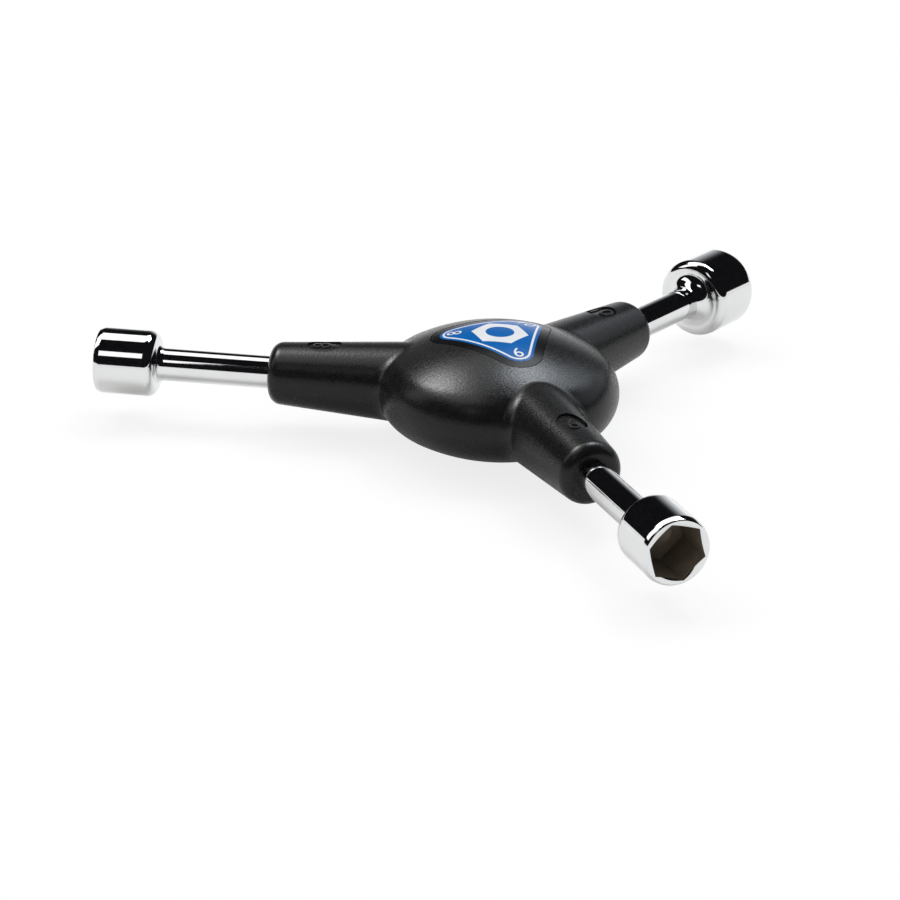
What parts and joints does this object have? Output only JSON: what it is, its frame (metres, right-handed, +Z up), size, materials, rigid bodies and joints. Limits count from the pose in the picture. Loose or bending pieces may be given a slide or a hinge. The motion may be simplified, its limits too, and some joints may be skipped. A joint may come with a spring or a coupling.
{
  "type": "y wrench",
  "caption": "Y-shaped hand wrench: a rounded moulded hub with tapered arms, each holding a chromed shaft that ends in a hexagon socket of its own size.",
  "frame": {"origin": "middle of the flat underside of the hub, on the hub's own axis", "axes": "+Z up through the crown of the hub, -X along the 8 mm arm, +Y towards the side of the 10 mm arm"},
  "size_m": [0.1172, 0.1345, 0.0217],
  "materials": {
    "handle_nylon": "fine spark-eroded mould texture, glass-filled nylon",
    "shaft_chrome": "bright chrome plate on steel, unplated and dark inside the hexagon",
    "label_vinyl": "printed vinyl under a clear film"
  },
  "bodies": {
    "root": {"handle": "handle_nylon", "socket_shaft_8mm": "shaft_chrome", "socket_shaft_9mm": "shaft_chrome", "socket_shaft_10mm": "shaft_chrome", "label": "label_vinyl"}
  },
  "joints": []
}
